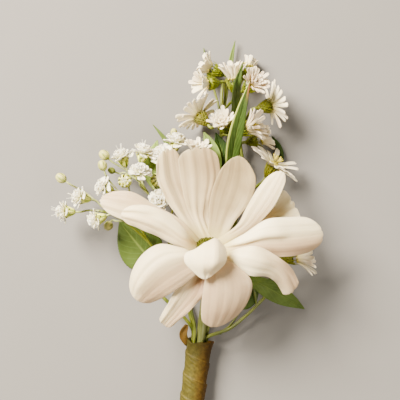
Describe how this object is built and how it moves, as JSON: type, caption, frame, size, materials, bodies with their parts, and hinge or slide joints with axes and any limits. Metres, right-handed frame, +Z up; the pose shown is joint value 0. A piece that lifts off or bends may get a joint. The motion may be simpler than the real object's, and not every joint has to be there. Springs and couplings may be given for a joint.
{
  "type": "boutonniere",
  "caption": "White daisy boutonniere lying on its back: drooping daisy petals, small asters, baby's breath and leaves, with the stems bound in floral tape as a slim handle.",
  "frame": {"origin": "middle of the bounding box seen from above, on the surface that the boutonniere lies on", "axes": "+Y along the boutonniere from its taped handle to its top leaf, +X to the right as it is seen lying face up, +Z up from the surface"},
  "size_m": [0.0758, 0.1282, 0.0318],
  "materials": {
    "petal": "satin white, warmer at the root",
    "floret": "matte yellow-green",
    "pale_stem": "satin pale green",
    "ray": "satin white",
    "aster_disc": "matte yellow",
    "stem": "satin green",
    "leaf": "satin green",
    "breath": "satin cream white",
    "tape": "waxed crepe, olive brown"
  },
  "bodies": {
    "root": {"daisy_petals": "petal", "daisy_disc": "floret", "daisy_stem": "pale_stem", "tape_wrap": "tape", "aster_1_rays": "ray", "aster_1_disc": "aster_disc", "aster_2_rays": "ray", "aster_2_disc": "aster_disc", "aster_3_rays": "ray", "aster_3_disc": "aster_disc", "aster_4_rays": "ray", "aster_4_disc": "aster_disc", "aster_5_rays": "ray", "aster_5_disc": "aster_disc", "aster_6_rays": "ray", "aster_6_disc": "aster_disc", "aster_7_rays": "ray", "aster_7_disc": "aster_disc", "aster_8_rays": "ray", "aster_8_disc": "aster_disc", "aster_9_rays": "ray", "aster_9_disc": "aster_disc", "aster_10_rays": "ray", "aster_10_disc": "aster_disc", "aster_11_rays": "ray", "aster_11_disc": "aster_disc", "aster_12_rays": "ray", "aster_12_disc": "aster_disc", "aster_13_rays": "ray", "aster_13_disc": "aster_disc", "left_asters_stem": "stem", "right_asters_stem": "stem", "low_aster_stem": "stem", "babys_breath_bloom_1": "breath", "babys_breath_bloom_2": "breath", "babys_breath_bloom_3": "breath", "babys_breath_bloom_4": "breath", "babys_breath_bloom_5": "breath", "babys_breath_bloom_6": "breath", "babys_breath_bloom_7": "breath", "babys_breath_bloom_8": "breath", "babys_breath_bloom_9": "breath", "babys_breath_bloom_10": "breath", "babys_breath_bloom_11": "breath", "babys_breath_bloom_12": "breath", "babys_breath_stem": "stem", "leaf_sprig": "leaf", "broad_leaf": "leaf", "side_leaf": "leaf"}
  },
  "joints": []
}
